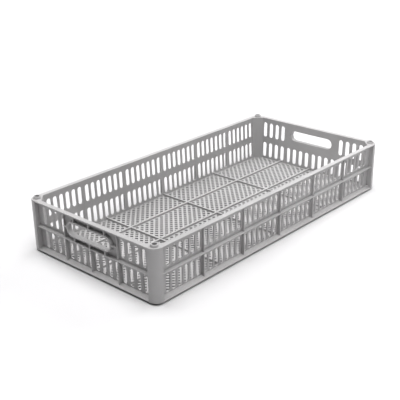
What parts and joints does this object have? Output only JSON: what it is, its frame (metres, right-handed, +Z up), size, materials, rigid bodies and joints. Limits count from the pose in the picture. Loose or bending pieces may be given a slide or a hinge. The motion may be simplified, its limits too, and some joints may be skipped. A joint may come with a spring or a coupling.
{
  "type": "poultry transport crate",
  "caption": "Open stacking plastic crate for chicks or eggs, with slotted walls, diamond lattice floor, two handle holes and corner bosses.",
  "frame": {"origin": "on the table under the middle of the crate", "axes": "+X along the length, +Y across to the back, +Z up out of the open top"},
  "size_m": [0.78, 0.382, 0.1255],
  "materials": {
    "grey_plastic": "moulded satin"
  },
  "bodies": {
    "root": {"floor_left": "grey_plastic", "floor_middle_left": "grey_plastic", "floor_middle_right": "grey_plastic", "floor_right": "grey_plastic", "ridge_lengthwise_back": "grey_plastic", "ridge_lengthwise_middle": "grey_plastic", "ridge_lengthwise_front": "grey_plastic", "ridge_crosswise_left": "grey_plastic", "ridge_crosswise_middle": "grey_plastic", "ridge_crosswise_right": "grey_plastic", "wall_front": "grey_plastic", "wall_back": "grey_plastic", "wall_left": "grey_plastic", "wall_right": "grey_plastic", "corner_post_front_left": "grey_plastic", "corner_post_front_right": "grey_plastic", "corner_post_back_left": "grey_plastic", "corner_post_back_right": "grey_plastic", "rim_front": "grey_plastic", "rim_back": "grey_plastic", "rim_left": "grey_plastic", "rim_right": "grey_plastic", "rim_corner_front_left": "grey_plastic", "rim_corner_front_right": "grey_plastic", "rim_corner_back_left": "grey_plastic", "rim_corner_back_right": "grey_plastic", "boss_front_left": "grey_plastic", "boss_front_right": "grey_plastic", "boss_back_left": "grey_plastic", "boss_back_right": "grey_plastic", "skirt_front": "grey_plastic", "skirt_back": "grey_plastic", "skirt_left": "grey_plastic", "skirt_right": "grey_plastic", "belt_front": "grey_plastic", "belt_back": "grey_plastic", "belt_left": "grey_plastic", "belt_right": "grey_plastic", "upright_ribs_front": "grey_plastic", "upright_ribs_back": "grey_plastic", "upright_ribs_left": "grey_plastic", "upright_ribs_right": "grey_plastic", "handle_collar_left": "grey_plastic", "handle_collar_right": "grey_plastic", "handle_braces_left": "grey_plastic", "handle_braces_right": "grey_plastic"}
  },
  "joints": []
}
